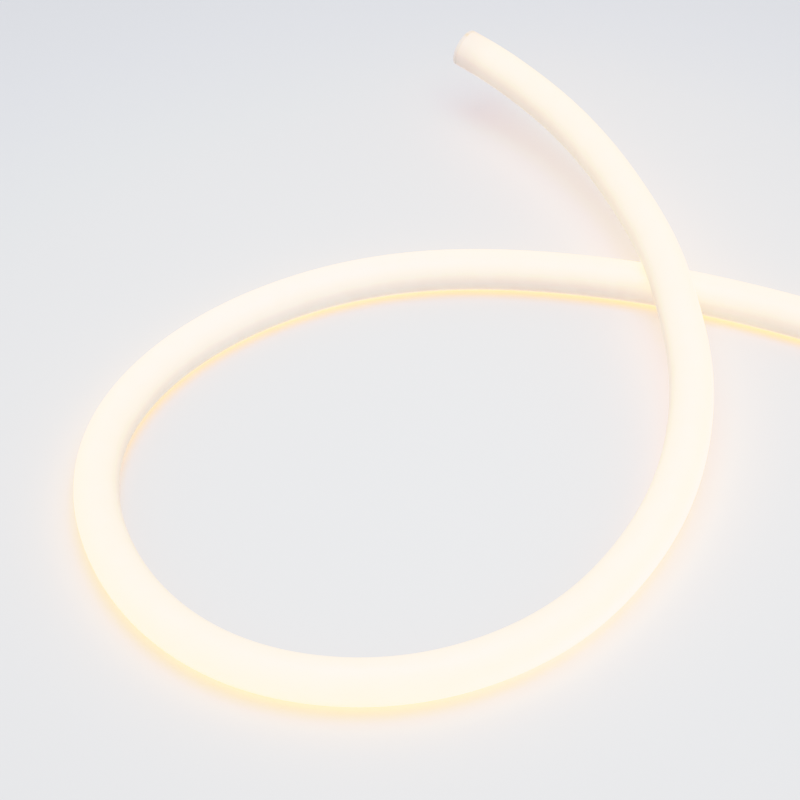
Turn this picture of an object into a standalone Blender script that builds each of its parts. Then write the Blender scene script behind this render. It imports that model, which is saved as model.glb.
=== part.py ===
"""Round LED neon flex, a one metre cut length lying in an open loop that crosses over itself.

A milky silicone tube holds a flexible LED strip in a D-shaped light chamber. The back of the strip
sits on the side of the tube that is inside the bend, and its LEDs face outwards. A silicone cap
closes each end. Metres, +Z up, the floor at z = 0, the origin at the bottom centre of the whole flex.

Distances along the flex run from the free end, which is lifted, to the feed end, which lies flat.
"""

import math

import bmesh
import bpy
import numpy as np
from mathutils import Vector

# Flex
CUT_LENGTH = 1.0  # from cap face to cap face
TUBE_DIAMETER = 0.016
WALL = 0.002  # silicone round the light chamber
GAP = 0.0003  # between pieces that touch

# LED strip
STRIP_WIDTH = 0.008
STRIP_THICKNESS = 0.0003
STRIP_SIDE_ROOM = 0.0002  # on each side of the strip on its seat
LED_PITCH = 0.010
LED_LENGTH = 0.0035
LED_WIDTH = 0.0028
LED_HEIGHT = 0.0008

# End caps
CAP_THICKNESS = 0.0015
CAP_EDGE = 0.0006  # rounding of the rim
PLUG_DEPTH = 0.008
PLUG_ROOM = 0.0004  # between the plug and the chamber's wall

# Fineness of the solids
SIDES = 24
STATION_SPACING = 0.0125
EDGE_STEPS = 3
ROUTE_STEPS = 40  # straight steps between two route points when the route is measured

# The centreline, from the free end to the feed end: x, y and rise. A rise of 0 lies on the floor, and
# a rise of 1 passes just over the stretch that lies below.
ROUTE = (
    (-0.0401, 0.1631, 1.767),
    (-0.0292, 0.1547, 1.634),
    (-0.0167, 0.1418, 1.521),
    (-0.0033, 0.1245, 1.416),
    (0.0124, 0.0972, 1.281),
    (0.0246, 0.0676, 1.145),
    (0.0331, 0.0390, 1.01),
    (0.0377, 0.0082, 0.85),
    (0.0395, -0.0227, 0.61),
    (0.0357, -0.0534, 0.36),
    (0.0261, -0.0829, 0.17),
    (0.0107, -0.1100, 0.065),
    (-0.0097, -0.1335, 0.018),
    (-0.0356, -0.1509, 0.003),
    (-0.0652, -0.1604, 0.0),
    (-0.0963, -0.1604, 0.0),
    (-0.1258, -0.1504, 0.0),
    (-0.1499, -0.1307, 0.0),
    (-0.1665, -0.1044, 0.0),
    (-0.1749, -0.0744, 0.0),
    (-0.1729, -0.0434, 0.0),
    (-0.1605, -0.0149, 0.0),
    (-0.1406, 0.0091, 0.0),
    (-0.1156, 0.0278, 0.0),
    (-0.0873, 0.0408, 0.0),
    (-0.0568, 0.0475, 0.0),
    (-0.0256, 0.0482, 0.0),
    (0.0054, 0.0446, 0.0),
    (0.0359, 0.0379, 0.0),
    (0.0655, 0.0279, 0.0),
    (0.0942, 0.0155, 0.0),
    (0.1216, 0.0005, 0.0),
    (0.1474, -0.0171, 0.0),
    (0.1783, -0.0424, 0.0),
)

TUBE_RADIUS = TUBE_DIAMETER / 2
CHAMBER_RADIUS = TUBE_RADIUS - WALL
SEAT_HALF_WIDTH = STRIP_WIDTH / 2 + STRIP_SIDE_ROOM
SEAT = math.sqrt(CHAMBER_RADIUS**2 - SEAT_HALF_WIDTH**2)  # from the axis to the strip's seat


def clear_scene():
    for thing in list(bpy.data.objects):
        bpy.data.objects.remove(thing, do_unlink=True)


def natural_spline(points):
    """A smooth curve through the points: dense points on it, and the distance along it to each."""
    points = np.array(points)
    knots = np.concatenate([[0], np.cumsum(np.linalg.norm(np.diff(points, axis=0), axis=1))])
    steps = np.diff(knots)
    matrix = np.eye(len(points))
    right = np.zeros_like(points)
    slopes = np.diff(points, axis=0) / steps[:, None]
    for i in range(1, len(points) - 1):
        matrix[i, i - 1 : i + 2] = steps[i - 1], 2 * (steps[i - 1] + steps[i]), steps[i]
        right[i] = 6 * (slopes[i] - slopes[i - 1])
    bends = np.linalg.solve(matrix, right)
    dense = []
    for i, step in enumerate(steps):
        share = np.linspace(0, 1, ROUTE_STEPS, endpoint=False)[:, None]
        rest = 1 - share
        dense.append(
            rest * points[i]
            + share * points[i + 1]
            + ((rest**3 - rest) * bends[i] + (share**3 - share) * bends[i + 1]) * step**2 / 6
        )
    dense = np.concatenate([*dense, points[-1:]])
    along = np.concatenate([[0], np.cumsum(np.linalg.norm(np.diff(dense, axis=0), axis=1))])
    return dense, along


def route_in_metres():
    """The route's points, raised so that the flex lies on the floor and on itself."""
    pass_over = TUBE_DIAMETER + GAP
    return [(x, y, TUBE_RADIUS + rise * pass_over) for x, y, rise in ROUTE]


class Centreline:
    """The middle of the tube, and the directions of its section at any distance along it."""

    def __init__(self):
        self.points, self.along = natural_spline(route_in_metres())
        self.directions = np.gradient(self.points, self.along, axis=0)

    def section_at(self, distance):
        """Middle, inner side of the bend and upper side. Past its end the route runs straight on."""
        middle = Vector([np.interp(distance, self.along, self.points[:, k]) for k in range(3)])
        tangent = Vector([np.interp(distance, self.along, self.directions[:, k]) for k in range(3)])
        tangent.normalize()
        middle += tangent * max(0.0, distance - self.along[-1])
        inner = tangent.cross(Vector((0, 0, 1))).normalized()
        return middle, inner, inner.cross(tangent)

    def ring(self, distance, profile):
        """The points of a profile, given as (inwards, upwards), at a distance along the flex."""
        middle, inner, upper = self.section_at(distance)
        return [middle + inner * a + upper * b for a, b in profile]


def circle(radius):
    angles = [2 * math.pi * k / SIDES for k in range(SIDES)]
    return [(radius * math.cos(a), radius * math.sin(a)) for a in angles]


def chamber_profile(radius, seat):
    """A circle cut flat at the seat, as many points as a circle, with a quarter of them on the flat."""
    corner = math.acos(seat / radius)
    half_width = radius * math.sin(corner)
    flat_half = SIDES // 8
    flat = [(seat, half_width * k / flat_half) for k in range(-flat_half, flat_half + 1)]
    steps = SIDES - 2 * flat_half
    arc = [corner + (2 * math.pi - 2 * corner) * k / steps for k in range(1, steps)]
    profile = flat + [(radius * math.cos(a), radius * math.sin(a)) for a in arc]
    return profile[flat_half:] + profile[:flat_half]


def stations(start, end):
    count = max(2, round((end - start) / STATION_SPACING) + 1)
    return [float(d) for d in np.linspace(start, end, count)]


def loft(shape, rings, ring_to_ring=False):
    """Faces through the rings in turn. The two end rings are filled, or joined to each other."""
    made = [[shape.verts.new(point) for point in ring] for ring in rings]
    pairs = list(zip(made, made[1:]))
    if ring_to_ring:
        pairs.append((made[-1], made[0]))
    bands = []
    for low, high in pairs:
        count = len(low)
        around = [(k, (k + 1) % count) for k in range(count)]
        bands.append([shape.faces.new((low[a], low[b], high[b], high[a])) for a, b in around])
    if not ring_to_ring:
        shape.faces.new(made[0])
        shape.faces.new(made[-1])
    return bands


def material(name, colour, roughness, glow=None, glow_strength=0.0):
    made = bpy.data.materials.new(name)
    made.use_nodes = True
    shader = made.node_tree.nodes["Principled BSDF"]
    shader.inputs["Base Color"].default_value = (*colour, 1)
    shader.inputs["Roughness"].default_value = roughness
    shader.inputs["Metallic"].default_value = 0.0
    if glow:
        shader.inputs["Emission Color"].default_value = (*glow, 1)
        shader.inputs["Emission Strength"].default_value = glow_strength
    return made


def finish(name, shape, finish_material, sharp_from_degrees):
    bmesh.ops.recalc_face_normals(shape, faces=shape.faces)
    mesh = bpy.data.meshes.new(name)
    shape.to_mesh(mesh)
    shape.free()
    mesh.shade_smooth()
    mesh.set_sharp_from_angle(angle=math.radians(sharp_from_degrees))
    mesh.materials.append(finish_material)
    made = bpy.data.objects.new(name, mesh)
    bpy.context.scene.collection.objects.link(made)
    return made


def diffuser_tube(line, silicone):
    """The silicone extrusion: a round tube whose chamber runs through from end to end."""
    places = stations(CAP_THICKNESS + GAP, CUT_LENGTH - CAP_THICKNESS - GAP)
    outside = [line.ring(d, circle(TUBE_RADIUS)) for d in places]
    inside = [line.ring(d, chamber_profile(CHAMBER_RADIUS, SEAT)) for d in reversed(places)]
    shape = bmesh.new()
    loft(shape, outside + inside, ring_to_ring=True)
    return finish("diffuser_tube", shape, silicone, 40)


def led_strip(line, circuit):
    """The flexible circuit strip, with its row of LEDs raised on the side that faces outwards."""
    start = CAP_THICKNESS + PLUG_DEPTH + GAP
    end = CUT_LENGTH - start
    back = SEAT - GAP
    front = back - STRIP_THICKNESS
    edge = STRIP_WIDTH / 2
    led_edge = LED_WIDTH / 2
    profile = [(back, -edge), (back, edge), (front, edge)]
    profile += [(front, led_edge), (front, -led_edge), (front, -edge)]
    led_side = 3  # the profile's step from one edge of an LED to the other
    count = int((end - start) / LED_PITCH)
    first = (start + end - (count - 1) * LED_PITCH) / 2
    places = [start]
    for k in range(count):
        middle = first + k * LED_PITCH
        places += [middle - LED_LENGTH / 2, middle + LED_LENGTH / 2]
    places.append(end)
    shape = bmesh.new()
    bands = loft(shape, [line.ring(d, profile) for d in places])
    under_leds = [band[led_side] for band in bands[1::2]]
    raised = bmesh.ops.extrude_discrete_faces(shape, faces=under_leds)["faces"]
    for k, face in enumerate(raised):
        _, inner, _ = line.section_at(first + k * LED_PITCH)
        bmesh.ops.translate(shape, verts=face.verts, vec=-inner * LED_HEIGHT)
    return finish("led_strip", shape, circuit, 30)


def end_cap(name, line, from_end, silicone):
    """A round cap that closes one end, with a plug that fills the mouth of the light chamber."""
    plug = chamber_profile(CHAMBER_RADIUS - PLUG_ROOM, SEAT - PLUG_ROOM)
    rings = [
        (CAP_THICKNESS + PLUG_DEPTH, plug),
        (CAP_THICKNESS, plug),
        (CAP_THICKNESS, circle(TUBE_RADIUS)),
    ]
    for k in range(EDGE_STEPS + 1):
        turn = math.pi / 2 * k / EDGE_STEPS
        depth = CAP_EDGE * (1 - math.sin(turn))
        rings.append((depth, circle(TUBE_RADIUS - CAP_EDGE * (1 - math.cos(turn)))))
    shape = bmesh.new()
    loft(shape, [line.ring(from_end(depth), profile) for depth, profile in rings])
    return finish(name, shape, silicone, 40)


def main():
    clear_scene()
    line = Centreline()
    lit_silicone = material("lit_silicone", (0.93, 0.9, 0.84), 0.45, (1.0, 0.86, 0.62), 1.0)
    cap_silicone = material("cap_silicone", (0.92, 0.9, 0.86), 0.5, (1.0, 0.88, 0.7), 0.5)
    circuit = material("circuit", (0.9, 0.9, 0.86), 0.4)
    diffuser_tube(line, lit_silicone)
    led_strip(line, circuit)
    end_cap("end_cap_free", line, lambda depth: depth, cap_silicone)
    end_cap("end_cap_feed", line, lambda depth: CUT_LENGTH - depth, cap_silicone)


main()
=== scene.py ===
"""Looks of a one metre length of round LED neon flex, lit warm white and lying in an open loop."""

import math

import bpy
import numpy as np
from bpy.props import FloatProperty, FloatVectorProperty, IntProperty, PointerProperty
from bpy.types import Operator, Panel, PropertyGroup
from mathutils import Euler, Matrix, Vector


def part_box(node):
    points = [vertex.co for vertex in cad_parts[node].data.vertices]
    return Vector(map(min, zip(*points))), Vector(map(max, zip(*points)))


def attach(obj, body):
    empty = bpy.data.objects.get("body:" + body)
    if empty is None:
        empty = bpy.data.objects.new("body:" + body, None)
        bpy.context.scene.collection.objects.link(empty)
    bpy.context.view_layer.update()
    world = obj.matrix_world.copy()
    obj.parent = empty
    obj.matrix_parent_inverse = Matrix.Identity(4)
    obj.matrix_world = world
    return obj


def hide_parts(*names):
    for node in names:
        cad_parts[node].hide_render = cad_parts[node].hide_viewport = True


bl_info = {
    "name": "LED Neon Flex",
    "version": (1, 0, 0),
    "blender": (4, 5, 0),
    "location": "View3D > Sidebar > Neon Flex",
    "description": "Dresses a length of round LED neon flex: lit tube, end caps, LED strip and stage",
    "category": "Add Mesh",
}

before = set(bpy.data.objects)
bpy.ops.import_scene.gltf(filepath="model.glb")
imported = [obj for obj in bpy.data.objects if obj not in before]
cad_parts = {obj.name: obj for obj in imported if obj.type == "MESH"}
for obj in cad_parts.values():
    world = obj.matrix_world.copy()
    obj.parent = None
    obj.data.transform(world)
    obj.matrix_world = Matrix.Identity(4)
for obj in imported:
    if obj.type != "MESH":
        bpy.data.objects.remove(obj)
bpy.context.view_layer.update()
BODY = "root"

# Lengths are in metres.
CUT_LENGTH = 1.0  # from cap face to cap face
TUBE_DIAMETER = round(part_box("end_cap_feed")[1].z, 4)
TUBE_RADIUS = TUBE_DIAMETER / 2
GAP = 0.0003  # between two stretches that touch, as in the CAD
ROUTE_STEPS = 40  # straight steps between two route points when the route is measured
RIM_STEPS = 5  # steps in the rounding of a cap's rim
SHARP_ANGLE = math.radians(35)  # an edge that turns more than this stays sharp

# Where the light changes along the flex: distances from the free end's face.
BAND_WIDENS = (0.27, 0.36)  # between these the dim band grows wider
BAND_NARROWS = (0.52, 0.60)  # and between these it goes back to its usual width
PAINTED_FILL_COMES = (0.56, 0.66)  # between these painted fill light comes in round the far side, as if more light fell there
PAINTED_FILL_GOES = (0.68, 0.80)  # and between these the painted fill light goes again
LIFTED_ENDS = (0.32, 0.42)  # between these the rising stretch comes down to the floor, and the painted light under it fades out
END_FADE = 0.018  # how far from each end the light is dimmer

# Where it changes round the section and on a cap's face.
UNDERSIDE = ((0.36, 0.52), (0.80, 0.88))  # shares of a turn where the lower side begins and ends; it gets the painted light of the rising stretch
FACE_DIMS = (0.0035, 0.0068)  # distances from a cap's middle between which its face gets dimmer
RIM_BEGINS = (0.0070, 0.0078)  # and between which the face turns into the rim

# The warm speck on the free end's cap.
SPECK_PLACE = 0.001  # its distance from the cap's face
SPECK_ANGLE = math.radians(82)  # its angle above the inner side of the bend
SPECK_REACH = 0.0017  # the distance from its middle at which it has faded out

# The light round the section, in degrees from the dim band's middle, up over the top and round.
# At 0 and at 360 it is the band's own.
GLOW_ROUND = (
    (20, "rim_glow"),
    (50, "shoulder_glow"),
    (95, "top_glow"),
    (160, "outer_glow"),
    (230, "lower_glow"),
    (290, "under_glow"),
    (313, "floor_glow"),
    (323, "skirt_glow"),
    (336, "band_glow"),
)

# The finishes' patterns. A larger scale is a finer pattern.
DRAWN_OUT = (0.04, 1.0, 1.0)  # stretches the lines along the flex, as the die draws them
CLOUD_SCALE = 140.0  # clouds in the silicone's colour
LINE_SCALE = 2600.0  # drawn lines in its skin
GRAIN_SCALE = 9000.0  # grain of its skin
GLOW_CLOUD_SCALE = 60.0  # clouds in the light that gets through it
WEAVE_SCALE = 900.0  # weave of the circuit's film
MASK_SCALE = 4000.0  # grain of its solder mask
PAPER_SCALE = 6.0  # clouds in the floor's colour
NOISE_ENDS = (0.3, 0.7)  # the noise's usual lowest and highest values
CLOUD_ENDS = (0.35, 0.65)  # the same for the silicone's clouds, a little harder
SKIN_ENDS = (0.5, 1.0)  # the same for lines and half the grain together
SKIN_ROUGHNESS = (0.36, 0.48)
GLOW_CLOUDS = (0.985, 1.015)  # the shares of the light in its darkest and its brightest cloud
MASK_SHADES = ((0.80, 0.80, 0.76), (0.88, 0.88, 0.84))
MASK_ROUGHNESS = (0.32, 0.45)

# The stage and its camera.
FLOOR_SIZE = 12.0
SENSOR_WIDTH = 36  # millimetres, as the lens is
LENS = 94.5
CAMERA_PLACE = (-0.06824, -0.59689, 0.53596)
PITCH_DOWN = math.radians(42.837)
CAMERA_TURN = math.radians(-0.071)

# The film's curves: light that comes in, and brightness that it gives. Both are straight up to 0.8.
FILM_LIMIT = 4.0
RED_SHOULDER = ((0.8, 0.8), (1.0, 0.886), (1.2, 0.953), (1.5, 1.0))
SHOULDER = ((0.8, 0.8), (1.0, 0.895), (1.2, 0.926), (1.5, 0.955), (2.0, 0.984), (3.0, 1.0))

# The centreline from the free end to the feed end: x, y and rise. A rise of 0 lies on the floor, and
# a rise of 1 passes just over the stretch that lies below.
ROUTE = (
    (-0.0401, 0.1631, 1.767),
    (-0.0292, 0.1547, 1.634),
    (-0.0167, 0.1418, 1.521),
    (-0.0033, 0.1245, 1.416),
    (0.0124, 0.0972, 1.281),
    (0.0246, 0.0676, 1.145),
    (0.0331, 0.0390, 1.01),
    (0.0377, 0.0082, 0.85),
    (0.0395, -0.0227, 0.61),
    (0.0357, -0.0534, 0.36),
    (0.0261, -0.0829, 0.17),
    (0.0107, -0.1100, 0.065),
    (-0.0097, -0.1335, 0.018),
    (-0.0356, -0.1509, 0.003),
    (-0.0652, -0.1604, 0.0),
    (-0.0963, -0.1604, 0.0),
    (-0.1258, -0.1504, 0.0),
    (-0.1499, -0.1307, 0.0),
    (-0.1665, -0.1044, 0.0),
    (-0.1749, -0.0744, 0.0),
    (-0.1729, -0.0434, 0.0),
    (-0.1605, -0.0149, 0.0),
    (-0.1406, 0.0091, 0.0),
    (-0.1156, 0.0278, 0.0),
    (-0.0873, 0.0408, 0.0),
    (-0.0568, 0.0475, 0.0),
    (-0.0256, 0.0482, 0.0),
    (0.0054, 0.0446, 0.0),
    (0.0359, 0.0379, 0.0),
    (0.0655, 0.0279, 0.0),
    (0.0942, 0.0155, 0.0),
    (0.1216, 0.0005, 0.0),
    (0.1474, -0.0171, 0.0),
    (0.1783, -0.0424, 0.0),
)


class FlexSizes(PropertyGroup):
    wall: FloatProperty(
        name="Wall", description="Silicone round the light chamber", default=0.002, unit="LENGTH"
    )
    strip_width: FloatProperty(
        name="Strip width", description="Width of the circuit strip", default=0.008, unit="LENGTH"
    )
    strip_thickness: FloatProperty(
        name="Strip thickness", description="Thickness of the circuit strip", default=0.0003, unit="LENGTH"
    )
    strip_side_room: FloatProperty(
        name="Strip side room", description="Room on each side of the strip on its seat",
        default=0.0002, unit="LENGTH",
    )
    cap_thickness: FloatProperty(
        name="Cap thickness", description="Thickness of a cap's disc", default=0.0015, unit="LENGTH"
    )
    cap_edge: FloatProperty(
        name="Cap edge", description="Rounding of a cap's rim", default=0.0006, unit="LENGTH"
    )
    plug_depth: FloatProperty(
        name="Plug depth", description="Length of a cap's plug in the chamber", default=0.008, unit="LENGTH"
    )
    plug_room: FloatProperty(
        name="Plug room", description="Room between the plug and the chamber's wall",
        default=0.0004, unit="LENGTH",
    )
    cut_edge: FloatProperty(
        name="Cut edge", description="Softened edge where the tube was cut", default=0.00008, unit="LENGTH"
    )
    seam: FloatProperty(
        name="Seam", description="Hairline between a cap and the tube", default=0.00002, unit="LENGTH"
    )
    ring_spacing: FloatProperty(
        name="Ring spacing", description="Distance between two rings of the tube's mesh",
        default=0.0025, unit="LENGTH",
    )
    sides: IntProperty(
        name="Sides", description="Faces round the tube, a multiple of 8", default=72, min=16, max=128
    )


class FlexFinish(PropertyGroup):
    silicone: FloatVectorProperty(
        name="Silicone", description="Colour of the milky silicone when it is off",
        default=(0.636, 0.623, 0.614), size=3, subtype="COLOR", min=0, max=1,
    )
    band_glow: FloatVectorProperty(
        name="Band glow", description="Light that is left over the strip's opaque back",
        default=(0.155, 0.108, 0.09), size=3, subtype="COLOR", min=0, max=1,
    )
    rim_glow: FloatVectorProperty(
        name="Rim glow", description="Light where the dim band turns into the lit side",
        default=(0.27, 0.147, 0.092), size=3, subtype="COLOR", min=0, max=1,
    )
    shoulder_glow: FloatVectorProperty(
        name="Shoulder glow", description="Light just above the dim band",
        default=(0.46, 0.30, 0.125), size=3, subtype="COLOR", min=0, max=1,
    )
    top_glow: FloatVectorProperty(
        name="Top glow", description="Light along the top",
        default=(0.6, 0.388, 0.156), size=3, subtype="COLOR", min=0, max=1,
    )
    outer_glow: FloatVectorProperty(
        name="Outer glow", description="Light on the outer side of the bend",
        default=(0.8, 0.45, 0.175), size=3, subtype="COLOR", min=0, max=1,
    )
    lower_glow: FloatVectorProperty(
        name="Lower glow", description="Light low on the outer side",
        default=(0.95, 0.475, 0.19), size=3, subtype="COLOR", min=0, max=1,
    )
    under_glow: FloatVectorProperty(
        name="Under glow", description="Light underneath",
        default=(1.0, 0.47, 0.24), size=3, subtype="COLOR", min=0, max=1,
    )
    floor_glow: FloatVectorProperty(
        name="Floor glow", description="Deep orange light low on the inner side, close to the floor",
        default=(1.0, 0.33, 0.10), size=3, subtype="COLOR", min=0, max=1,
    )
    skirt_glow: FloatVectorProperty(
        name="Skirt glow", description="Light at the dim band's lower edge",
        default=(0.3, 0.175, 0.16), size=3, subtype="COLOR", min=0, max=1,
    )
    end_tint: FloatVectorProperty(
        name="End tint", description="Share of the light that is left in the tube next to its caps",
        default=(0.64, 0.36, 0.44), size=3, subtype="COLOR", min=0, max=1,
    )
    end_haze: FloatVectorProperty(
        name="End haze", description="Milkier light that the caps throw back into the tube's ends",
        default=(0.0, 0.04, 0.034), size=3, subtype="COLOR", min=0, max=1,
    )
    # Painted light: whiter light on the underside where the flex rises off the floor, standing in for how
    # light falls under it there.
    lifted_painted_light: FloatVectorProperty(
        name="Lifted haze", description="Whiter light underneath, where the flex rises off the floor",
        default=(0.0, 0.034, 0.10), size=3, subtype="COLOR", min=0, max=1,
    )
    cap_tint: FloatVectorProperty(
        name="Cap tint", description="Share of the tube's light that gets into a cap's rim",
        default=(0.30, 0.17, 0.16), size=3, subtype="COLOR", min=0, max=1,
    )
    cap_haze: FloatVectorProperty(
        name="Cap haze", description="Even light that spreads through a cap's rim",
        default=(0.04, 0.058, 0.062), size=3, subtype="COLOR", min=0, max=1,
    )
    face_glow: FloatVectorProperty(
        name="Face glow", description="Light in the middle of a cap's face, over the chamber",
        default=(0.27, 0.185, 0.12), size=3, subtype="COLOR", min=0, max=1,
    )
    face_edge_glow: FloatVectorProperty(
        name="Face edge glow", description="Light towards the edge of a cap's face, over the wall",
        default=(0.155, 0.105, 0.072), size=3, subtype="COLOR", min=0, max=1,
    )
    # Painted light: neutral fill light added to the glow round the far side, standing in for more light
    # falling on it there.
    painted_fill_light: FloatVectorProperty(
        name="Haze", description="Milkier light where the strip's edges show least, round the far side",
        default=(0.012, 0.024, 0.03), size=3, subtype="COLOR", min=0, max=1,
    )
    speck: FloatVectorProperty(
        name="Speck", description="Tint of the warm speck on the free end's cap",
        default=(1.0, 0.88, 0.77), size=3, subtype="COLOR", min=0, max=1,
    )
    glow_strength: FloatProperty(
        name="Glow strength", description="How strongly the lit silicone shines", default=2.0, min=0
    )
    band_turn: FloatProperty(
        name="Band turn", description="Angle of the dim band's middle above the inner side of the bend",
        default=math.radians(-4.5), subtype="ANGLE",
    )
    band_spread: FloatProperty(
        name="Band spread", description="Share by which the dim band is wider round the left of the loop",
        default=0.4, min=0,
    )


class StageSettings(PropertyGroup):
    floor: FloatVectorProperty(
        name="Floor", description="Colour of the floor", default=(0.80, 0.80, 0.80), size=3,
        subtype="COLOR", min=0, max=1,
    )
    surroundings: FloatVectorProperty(
        name="Surroundings", description="Colour of the light from all round",
        default=(0.908, 0.929, 1.0), size=3, subtype="COLOR", min=0, max=1,
    )
    surroundings_strength: FloatProperty(
        name="Surroundings strength", description="Strength of the light from all round",
        default=0.798, min=0,
    )
    softbox_power: FloatProperty(
        name="Softbox power", description="Power of the small softbox, in watts", default=0.35, min=0
    )
    ceiling_power: FloatProperty(
        name="Ceiling power", description="Power of the wide soft light overhead, in watts",
        default=0.97, min=0,
    )


def natural_spline(points):
    """A smooth curve through the points: dense points on it, and the distance along it to each."""
    points = np.array(points)
    knots = np.concatenate([[0], np.cumsum(np.linalg.norm(np.diff(points, axis=0), axis=1))])
    steps = np.diff(knots)
    matrix = np.eye(len(points))
    right = np.zeros_like(points)
    slopes = np.diff(points, axis=0) / steps[:, None]
    for i in range(1, len(points) - 1):
        matrix[i, i - 1 : i + 2] = steps[i - 1], 2 * (steps[i - 1] + steps[i]), steps[i]
        right[i] = 6 * (slopes[i] - slopes[i - 1])
    bends = np.linalg.solve(matrix, right)
    dense = []
    for i, step in enumerate(steps):
        share = np.linspace(0, 1, ROUTE_STEPS, endpoint=False)[:, None]
        rest = 1 - share
        dense.append(
            rest * points[i]
            + share * points[i + 1]
            + ((rest**3 - rest) * bends[i] + (share**3 - share) * bends[i + 1]) * step**2 / 6
        )
    dense = np.concatenate([*dense, points[-1:]])
    along = np.concatenate([[0], np.cumsum(np.linalg.norm(np.diff(dense, axis=0), axis=1))])
    return dense, along


class Centreline:
    """The middle of the tube, and the directions of its section at distances along it."""

    def __init__(self):
        pass_over = TUBE_DIAMETER + GAP
        route = [(x, y, TUBE_RADIUS + rise * pass_over) for x, y, rise in ROUTE]
        self.points, self.along = natural_spline(route)
        self.directions = np.gradient(self.points, self.along, axis=0)

    def sections(self, distances):
        """Middles, tangents, inner sides of the bend and upper sides. Past its end the route runs on."""
        distances = np.asarray(distances, float)
        middles = np.stack([np.interp(distances, self.along, axis) for axis in self.points.T], 1)
        tangents = np.stack([np.interp(distances, self.along, axis) for axis in self.directions.T], 1)
        tangents /= np.linalg.norm(tangents, axis=1)[:, None]
        middles += tangents * np.maximum(0, distances - self.along[-1])[:, None]
        inner = np.cross(tangents, (0, 0, 1))
        inner /= np.linalg.norm(inner, axis=1)[:, None]
        return middles, tangents, inner, np.cross(inner, tangents)


def circle(radius, sides):
    angles = 2 * np.pi * np.arange(sides) / sides
    return np.stack([radius * np.cos(angles), radius * np.sin(angles)], 1)


def chamber_profile(radius, seat, sides):
    """A circle cut flat at the seat, as many points as a circle, with a quarter of them on the flat."""
    corner = math.acos(seat / radius)
    half_width = radius * math.sin(corner)
    flat_half = sides // 8
    flat = [(seat, half_width * k / flat_half) for k in range(-flat_half, flat_half + 1)]
    steps = sides - 2 * flat_half
    arc = [corner + (2 * math.pi - 2 * corner) * k / steps for k in range(1, steps)]
    profile = flat + [(radius * math.cos(a), radius * math.sin(a)) for a in arc]
    return np.array(profile[flat_half:] + profile[:flat_half])


def chamber_sizes(sizes):
    """Radius of the light chamber, and the distance from the tube's middle to the strip's seat."""
    radius = TUBE_RADIUS - sizes.wall
    half_width = sizes.strip_width / 2 + sizes.strip_side_room
    return radius, math.sqrt(radius**2 - half_width**2)


def evenly(start, end, spacing):
    return np.linspace(start, end, max(2, round((end - start) / spacing) + 1))


def link_object(name, data):
    made = bpy.data.objects.new(name, data)
    bpy.context.scene.collection.objects.link(made)
    return made


def select_faces(obj, wanted):
    """Enters edit mode with only the wanted faces selected."""
    bpy.context.view_layer.objects.active = obj
    bpy.ops.object.mode_set(mode="EDIT")
    bpy.ops.mesh.select_all(action="DESELECT")
    bpy.ops.object.mode_set(mode="OBJECT")
    for face in obj.data.polygons:
        face.select = wanted(face)
    bpy.ops.object.mode_set(mode="EDIT")


def write_straightened(mesh, positions):
    """Each point's place on the flex if it lay straight: along, inwards and upwards, in metres."""
    attribute = mesh.attributes.new("straightened", "FLOAT_VECTOR", "POINT")
    attribute.data.foreach_set("vector", np.asarray(positions, np.float32).ravel())


def lofted(name, line, rings):
    """A closed mesh through the rings in turn and back to the first. A ring is (distance, profile)."""
    middles, _, inner, upper = line.sections([distance for distance, _ in rings])
    profiles = np.stack([profile for _, profile in rings])
    points = (
        middles[:, None]
        + inner[:, None] * profiles[:, :, :1]
        + upper[:, None] * profiles[:, :, 1:]
    )
    count, sides = profiles.shape[:2]
    index = np.arange(count * sides).reshape(count, sides)
    onward = np.roll(index, -1, axis=0)
    corners = np.stack([index, np.roll(index, -1, 1), np.roll(onward, -1, 1), onward], -1).reshape(-1, 4)
    mesh = bpy.data.meshes.new(name)
    mesh.from_pydata(points.reshape(-1, 3).tolist(), [], corners.tolist())
    straightened = np.concatenate(
        [np.repeat([distance for distance, _ in rings], sides)[:, None], profiles.reshape(-1, 2)], 1
    )
    write_straightened(mesh, straightened)
    mesh.update()
    return link_object(name, mesh)


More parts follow.
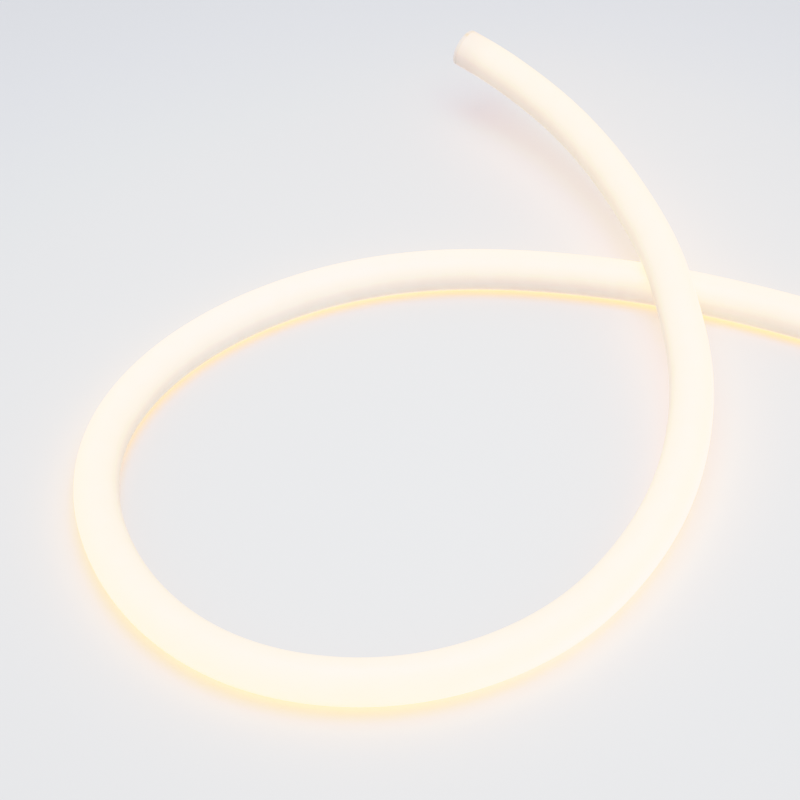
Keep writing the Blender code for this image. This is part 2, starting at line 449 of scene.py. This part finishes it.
class Nodes:
    """Adds shader nodes one after another and links them."""

    def __init__(self, name):
        self.material = bpy.data.materials.new(name)
        self.material.use_nodes = True
        self.tree = self.material.node_tree
        self.shader = self.tree.nodes["Principled BSDF"]
        self.column = 0

    def add(self, kind, inputs=None, **settings):
        node = self.tree.nodes.new(kind)
        self.column += 1
        node.location = (-220 * (self.column % 12) - 260, -280 * (self.column // 12))
        for name, value in settings.items():
            setattr(node, name, value)
        for key, value in (inputs or {}).items():
            self.set(node.inputs[key], value)
        return node

    def set(self, socket, value):
        if isinstance(value, bpy.types.NodeSocket):
            self.tree.links.new(value, socket)
        elif hasattr(value, "__len__") and len(value) == 3 and socket.type == "RGBA":
            socket.default_value = (*value, 1)
        else:
            socket.default_value = value

    def math(self, operation, *values):
        node = self.add("ShaderNodeMath", operation=operation)
        for socket, value in zip(node.inputs, values):
            self.set(socket, value)
        return node.outputs[0]

    def ramp(self, value, low, high, to_low=0.0, to_high=1.0):
        """Eases from to_low to to_high while the value goes from low to high."""
        inputs = {"Value": value, "From Min": low, "From Max": high, "To Min": to_low, "To Max": to_high}
        return self.add("ShaderNodeMapRange", inputs, interpolation_type="SMOOTHSTEP").outputs[0]

    def fade(self, value, low, high):
        """1 up to low, and 0 from high on."""
        return self.ramp(value, low, high, 1.0, 0.0)

    def between(self, value, comes, goes):
        """Rises from 0 to 1 over the first two values, and falls back to 0 over the other two."""
        return self.math("SUBTRACT", self.ramp(value, *comes), self.ramp(value, *goes))

    def mix_colour(self, share, first, second, blend="MIX"):
        """Mixes two colours. The mix node's sockets for colours are its 6th and 7th, after the share."""
        inputs = {0: share, 6: first, 7: second}
        return self.add("ShaderNodeMix", inputs, data_type="RGBA", blend_type=blend).outputs[2]

    def noise(self, vector, scale, detail=2.0, roughness=0.5):
        inputs = {"Vector": vector, "Scale": scale, "Detail": detail, "Roughness": roughness}
        return self.add("ShaderNodeTexNoise", inputs).outputs[0]

    def stretched(self, vector, scale):
        inputs = {"Vector": vector, "Scale": scale}
        return self.add("ShaderNodeMapping", inputs, vector_type="POINT").outputs[0]

    def straightened(self):
        node = self.add("ShaderNodeAttribute", attribute_name="straightened")
        return node.outputs["Vector"]

    def finish(self, inputs):
        for name, value in inputs.items():
            self.set(self.shader.inputs[name], value)
        return self.material


def darker(colour, share):
    """The colour with only this share of its light."""
    return [channel * share for channel in colour]


def around_the_flex(nodes, place, finish):
    """Place on the straightened flex, and share of a turn from the dim band's middle, up over the top."""
    parts = nodes.add("ShaderNodeSeparateXYZ", {"Vector": place}).outputs
    angle = nodes.math("ARCTAN2", parts["Z"], parts["Y"])
    from_band = nodes.math("SUBTRACT", angle, finish.band_turn)
    wrapped = nodes.math("WRAP", from_band, math.pi, -math.pi)
    wide_stretch = nodes.between(parts["X"], BAND_WIDENS, BAND_NARROWS)
    farness = nodes.math("DIVIDE", nodes.math("ABSOLUTE", wrapped), math.pi)
    nearness = nodes.math("SUBTRACT", 1.0, farness)
    wide_share = nodes.math("MULTIPLY", wide_stretch, nearness)
    spread = nodes.math("MULTIPLY_ADD", wide_share, finish.band_spread, 1.0)
    turns = nodes.math("DIVIDE", nodes.math("DIVIDE", wrapped, spread), 2 * math.pi)
    return parts, nodes.math("WRAP", turns, 1.0, 0.0)


def glow_colour(nodes, turns, finish):
    """The light round the tube's section: dim over the strip's back, fullest low on the outer side."""
    node = nodes.add("ShaderNodeValToRGB", {"Fac": turns})
    ramp = node.color_ramp
    ramp.interpolation = "CARDINAL"
    for end in ramp.elements:
        end.color = (*finish.band_glow, 1)
    for degrees, name in GLOW_ROUND:
        element = ramp.elements.new(degrees / 360)
        element.color = (*getattr(finish, name), 1)
    return node.outputs["Color"]


def silicone_surface(nodes, place, finish):
    """Colour, roughness and bump of extruded silicone with a satin skin that warms at its edges."""
    drawn = nodes.stretched(place, DRAWN_OUT)
    cloudy = nodes.noise(place, CLOUD_SCALE, detail=4.0)
    lines = nodes.noise(drawn, LINE_SCALE, detail=3.0, roughness=0.6)
    grain = nodes.noise(place, GRAIN_SCALE)
    shade = darker(finish.silicone, 0.965)
    colour = nodes.mix_colour(nodes.ramp(cloudy, *CLOUD_ENDS), shade, finish.silicone)
    skin = nodes.math("ADD", lines, nodes.math("MULTIPLY", grain, 0.5))
    roughness = nodes.ramp(skin, *SKIN_ENDS, *SKIN_ROUGHNESS)
    height = nodes.math("ADD", lines, nodes.math("MULTIPLY", grain, 0.35))
    bump = nodes.add("ShaderNodeBump", {"Height": height, "Strength": 0.12, "Distance": 0.00005})
    return {
        "Base Color": colour,
        "Roughness": roughness,
        "Normal": bump.outputs["Normal"],
        "IOR": 1.41,
        "Coat Weight": 1.0,
        "Coat Roughness": 0.3,
        "Coat IOR": 1.15,
        "Coat Tint": (1.0, 0.98, 0.935),
    }


def lit_silicone(finish):
    """The tube's silicone: bright all round but for the band over the strip's opaque back, with painted
    fill light round the far side and painted whiter light under the rising stretch.
    """
    nodes = Nodes("lit_silicone")
    place = nodes.straightened()
    parts, turns = around_the_flex(nodes, place, finish)
    surface = silicone_surface(nodes, place, finish)
    from_end = nodes.math("MINIMUM", parts["X"], nodes.math("SUBTRACT", CUT_LENGTH, parts["X"]))
    near_end = nodes.fade(from_end, 0.0, END_FADE)
    # Painted fill light round the far side of the loop, added to the glow's colour.
    painted_fill_share = nodes.between(parts["X"], PAINTED_FILL_COMES, PAINTED_FILL_GOES)
    cloudy = nodes.ramp(nodes.noise(place, GLOW_CLOUD_SCALE), *NOISE_ENDS, *GLOW_CLOUDS)
    strength = nodes.math("MULTIPLY", cloudy, finish.glow_strength)
    colour = glow_colour(nodes, turns, finish)
    colour = nodes.mix_colour(painted_fill_share, colour, finish.painted_fill_light, "ADD")
    # Painted light: the underside of the rising stretch is whitened.
    below = nodes.between(turns, *UNDERSIDE)
    lifted = nodes.math("MULTIPLY", below, nodes.fade(parts["X"], *LIFTED_ENDS))
    colour = nodes.mix_colour(lifted, colour, finish.lifted_painted_light, "ADD")
    colour = nodes.mix_colour(near_end, colour, finish.end_tint, "MULTIPLY")
    colour = nodes.mix_colour(near_end, colour, finish.end_haze, "ADD")
    return nodes.finish({**surface, "Emission Color": colour, "Emission Strength": strength})


def cap_silicone(finish):
    """The caps' silicone, lit dimly from the chamber behind, with one warm speck on the rim."""
    nodes = Nodes("cap_silicone")
    place = nodes.straightened()
    parts, turns = around_the_flex(nodes, place, finish)
    surface = silicone_surface(nodes, place, finish)
    square = nodes.math("MULTIPLY", parts["Y"], parts["Y"])
    radius = nodes.math("SQRT", nodes.math("MULTIPLY_ADD", parts["Z"], parts["Z"], square))
    rim = nodes.mix_colour(1.0, glow_colour(nodes, turns, finish), finish.cap_tint, "MULTIPLY")
    rim = nodes.mix_colour(1.0, rim, finish.cap_haze, "ADD")
    face = nodes.mix_colour(nodes.ramp(radius, *FACE_DIMS), finish.face_glow, finish.face_edge_glow)
    colour = nodes.mix_colour(nodes.ramp(radius, *RIM_BEGINS), face, rim)
    centre = (SPECK_PLACE, TUBE_RADIUS * math.cos(SPECK_ANGLE), TUBE_RADIUS * math.sin(SPECK_ANGLE))
    away = nodes.add("ShaderNodeVectorMath", {0: place, 1: centre}, operation="DISTANCE")
    speck = nodes.fade(away.outputs["Value"], 0.0, SPECK_REACH)
    colour = nodes.mix_colour(speck, colour, finish.speck, "MULTIPLY")
    surface["Base Color"] = nodes.mix_colour(speck, surface["Base Color"], finish.speck, "MULTIPLY")
    return nodes.finish({**surface, "Emission Color": colour, "Emission Strength": finish.glow_strength})


def circuit_finish():
    """White solder mask with a faint weave of the film beneath."""
    nodes = Nodes("circuit")
    place = nodes.add("ShaderNodeTexCoord").outputs["Object"]
    weave = nodes.noise(place, WEAVE_SCALE, detail=3.0)
    colour = nodes.mix_colour(weave, *MASK_SHADES)
    roughness = nodes.ramp(nodes.noise(place, MASK_SCALE), *NOISE_ENDS, *MASK_ROUGHNESS)
    bump = nodes.add("ShaderNodeBump", {"Height": weave, "Strength": 0.1, "Distance": 0.00003})
    return nodes.finish({"Base Color": colour, "Roughness": roughness, "Normal": bump.outputs["Normal"]})


class NEONFLEX_OT_lit_tube(Operator):
    """Model the milky silicone tube along the flex's route and light it from inside"""

    bl_idname = "neonflex.lit_tube"
    bl_label = "Lit Tube"

    def execute(self, context):
        sizes = context.scene.flex_sizes
        line = Centreline()
        start = sizes.cap_thickness + sizes.seam
        end = CUT_LENGTH - start
        outside = circle(TUBE_RADIUS, sizes.sides)
        cut = circle(TUBE_RADIUS - sizes.cut_edge, sizes.sides)
        chamber = chamber_profile(*chamber_sizes(sizes), sizes.sides)
        places = evenly(start + sizes.cut_edge, end - sizes.cut_edge, sizes.ring_spacing)
        rings = [(start, cut)] + [(d, outside) for d in places] + [(end, cut)]
        rings += [(d, chamber) for d in evenly(end, start, -sizes.ring_spacing)]
        tube = lofted("silicone_tube", line, rings)
        tube.data.shade_smooth()
        tube.data.set_sharp_from_angle(angle=SHARP_ANGLE)
        tube.data.materials.append(lit_silicone(context.scene.flex_finish))
        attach(tube, BODY)
        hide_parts("diffuser_tube")
        middles = line.sections(evenly(start, end, sizes.ring_spacing))[0]
        return {"FINISHED"}


class NEONFLEX_OT_end_caps(Operator):
    """Model the two silicone caps, each a thin disc with a plug in the light chamber"""

    bl_idname = "neonflex.end_caps"
    bl_label = "End Caps"

    def cap_at_origin(self, name, sizes):
        """A cap with its face up, its seam at z = 0 and the strip's seat towards +X."""
        chamber_radius, seat = chamber_sizes(sizes)
        bpy.ops.object.select_all(action="DESELECT")
        bpy.ops.mesh.primitive_cylinder_add(
            vertices=sizes.sides,
            radius=TUBE_RADIUS,
            depth=sizes.cap_thickness,
            location=(0, 0, sizes.cap_thickness / 2),
        )
        cap = bpy.context.object
        cap.name = name
        cap.data.name = name
        bpy.ops.object.transform_apply(location=True, rotation=True, scale=True)
        select_faces(cap, lambda face: face.normal.z > 0.9)
        bpy.ops.mesh.bevel(offset=sizes.cap_edge, segments=RIM_STEPS, affect="EDGES")
        bpy.ops.object.mode_set(mode="OBJECT")
        bpy.ops.object.select_all(action="DESELECT")
        bpy.ops.mesh.primitive_cylinder_add(
            vertices=sizes.sides,
            radius=chamber_radius - sizes.plug_room,
            depth=sizes.plug_depth + sizes.cap_thickness / 2,
            location=(0, 0, -sizes.plug_depth / 2 + sizes.cap_thickness / 4),
        )
        plug = bpy.context.object
        bpy.ops.object.transform_apply(location=True, rotation=True, scale=True)
        bpy.ops.object.mode_set(mode="EDIT")
        bpy.ops.mesh.select_all(action="SELECT")
        bpy.ops.mesh.bisect(
            plane_co=(seat - sizes.plug_room, 0, 0), plane_no=(1, 0, 0), use_fill=True, clear_outer=True
        )
        bpy.ops.object.mode_set(mode="OBJECT")
        bpy.ops.object.select_all(action="DESELECT")
        cap.select_set(True)
        bpy.context.view_layer.objects.active = cap
        union = cap.modifiers.new("plug", "BOOLEAN")
        union.operation = "UNION"
        union.object = plug
        bpy.ops.object.modifier_apply(modifier=union.name)
        bpy.data.objects.remove(plug, do_unlink=True)
        return cap

    def place(self, cap, line, distance, outward):
        """Moves a cap from the origin to its end of the flex, with its place in its mesh."""
        middles, tangents, inner, _ = line.sections([distance])
        x_axis = Vector(inner[0])
        z_axis = Vector(tangents[0]) * outward
        y_axis = z_axis.cross(x_axis)
        turn = Matrix((x_axis, y_axis, z_axis)).transposed().to_4x4()
        co = np.empty(len(cap.data.vertices) * 3, np.float32)
        cap.data.vertices.foreach_get("co", co)
        co = co.reshape(-1, 3)
        straightened = np.stack([distance + outward * co[:, 2], co[:, 0], co[:, 1] * -outward], 1)
        write_straightened(cap.data, straightened)
        cap.data.transform(Matrix.Translation(middles[0]) @ turn)
        cap.data.update()

    def execute(self, context):
        sizes = context.scene.flex_sizes
        line = Centreline()
        finish = cap_silicone(context.scene.flex_finish)
        for name, node, distance, outward in (
            ("cap_free", "end_cap_free", sizes.cap_thickness, -1),
            ("cap_feed", "end_cap_feed", CUT_LENGTH - sizes.cap_thickness, 1),
        ):
            cap = self.cap_at_origin(name, sizes)
            self.place(cap, line, distance, outward)
            cap.data.shade_smooth()
            cap.data.set_sharp_from_angle(angle=SHARP_ANGLE)
            cap.data.materials.append(finish)
            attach(cap, BODY)
            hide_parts(node)
        return {"FINISHED"}


class NEONFLEX_OT_led_strip(Operator):
    """Give the LED strip in the light chamber its circuit finish"""

    bl_idname = "neonflex.led_strip"
    bl_label = "LED Strip"

    def execute(self, context):
        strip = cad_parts["led_strip"]
        for material_slot in strip.material_slots:
            material_slot.material = circuit_finish()
        return {"FINISHED"}


class NEONFLEX_OT_stage(Operator):
    """Lay the floor, hang the lights and set up the camera"""

    bl_idname = "neonflex.stage"
    bl_label = "Stage"

    def floor(self, stage):
        bpy.ops.object.select_all(action="DESELECT")
        bpy.ops.mesh.primitive_plane_add(size=FLOOR_SIZE, location=(0, 0, 0))
        floor = bpy.context.object
        floor.name = "floor"
        nodes = Nodes("floor_paper")
        place = nodes.add("ShaderNodeTexCoord").outputs["Object"]
        cloudy = nodes.noise(place, PAPER_SCALE, detail=3.0)
        colour = nodes.mix_colour(cloudy, darker(stage.floor, 0.985), stage.floor)
        finish = nodes.finish({"Base Color": colour, "Roughness": 0.7, "Specular IOR Level": 0.2})
        floor.data.materials.append(finish)

    def surroundings(self, stage):
        world = bpy.data.worlds.new("studio")
        bpy.context.scene.world = world
        world.use_nodes = True
        background = world.node_tree.nodes["Background"]
        background.inputs["Color"].default_value = (*stage.surroundings, 1)
        background.inputs["Strength"].default_value = stage.surroundings_strength

    def light(self, name, position, target, size, power, colour):
        data = bpy.data.lights.new(name, "AREA")
        data.shape = "DISK"
        data.size = size
        data.energy = power
        data.color = colour
        made = link_object(name, data)
        made.location = position
        made.visible_camera = False
        made.rotation_euler = (Vector(target) - Vector(position)).to_track_quat("-Z", "Y").to_euler()

    def camera(self):
        data = bpy.data.cameras.new("camera")
        data.sensor_width = SENSOR_WIDTH
        data.lens = LENS
        made = link_object("camera", data)
        made.location = CAMERA_PLACE
        made.rotation_euler = Euler((math.pi / 2 - PITCH_DOWN, 0, CAMERA_TURN))
        bpy.context.scene.camera = made

    def film(self):
        """A plain transform with a soft shoulder, so that the lit silicone keeps its warm white."""
        view = bpy.context.scene.view_settings
        view.view_transform = "Standard"
        view.look = "None"
        view.exposure = 0.0
        view.gamma = 1.0
        view.use_curve_mapping = True
        mapping = view.curve_mapping
        mapping.extend = "EXTRAPOLATED"
        mapping.clip_max_x = FILM_LIMIT
        for curve, bends in zip(mapping.curves, (RED_SHOULDER, SHOULDER, SHOULDER)):
            curve.points[1].location = (FILM_LIMIT, 1.0)
            for bend in bends:
                curve.points.new(*bend)
            for point in curve.points:
                point.handle_type = "VECTOR"
        mapping.update()

    def execute(self, context):
        stage = context.scene.stage_settings
        self.floor(stage)
        self.surroundings(stage)
        self.light(
            "ceiling",
            position=(-0.036, -0.065, 0.5),
            target=(-0.036, -0.065, 0),
            size=0.44,
            power=stage.ceiling_power,
            colour=(0.992, 1.0, 0.95),
        )
        self.light(
            "softbox",
            position=(-0.27, 0.37, 1.2),
            target=(-0.04, 0.16, 0),
            size=0.36,
            power=stage.softbox_power,
            colour=(0.97, 0.98, 1.0),
        )
        self.camera()
        self.film()
        return {"FINISHED"}


class NEONFLEX_PT_sidebar(Panel):
    bl_idname = "NEONFLEX_PT_sidebar"
    bl_label = "LED Neon Flex"
    bl_space_type = "VIEW_3D"
    bl_region_type = "UI"
    bl_category = "Neon Flex"

    def draw(self, context):
        for operator in OPERATORS:
            self.layout.operator(operator.bl_idname)
        for group in (context.scene.flex_sizes, context.scene.flex_finish, context.scene.stage_settings):
            column = self.layout.column(align=True)
            for name in group.__annotations__:
                column.prop(group, name)


OPERATORS = (NEONFLEX_OT_stage, NEONFLEX_OT_led_strip, NEONFLEX_OT_end_caps, NEONFLEX_OT_lit_tube)
CLASSES = (FlexSizes, FlexFinish, StageSettings, *OPERATORS, NEONFLEX_PT_sidebar)


def register():
    for each in CLASSES:
        bpy.utils.register_class(each)
    bpy.types.Scene.flex_sizes = PointerProperty(type=FlexSizes)
    bpy.types.Scene.flex_finish = PointerProperty(type=FlexFinish)
    bpy.types.Scene.stage_settings = PointerProperty(type=StageSettings)


def unregister():
    del bpy.types.Scene.flex_sizes
    del bpy.types.Scene.flex_finish
    del bpy.types.Scene.stage_settings
    for each in reversed(CLASSES):
        bpy.utils.unregister_class(each)


def main():
    register()
    bpy.ops.neonflex.stage()
    bpy.ops.neonflex.led_strip()
    bpy.ops.neonflex.end_caps()
    bpy.ops.neonflex.lit_tube()


if __name__ == "__main__":
    main()
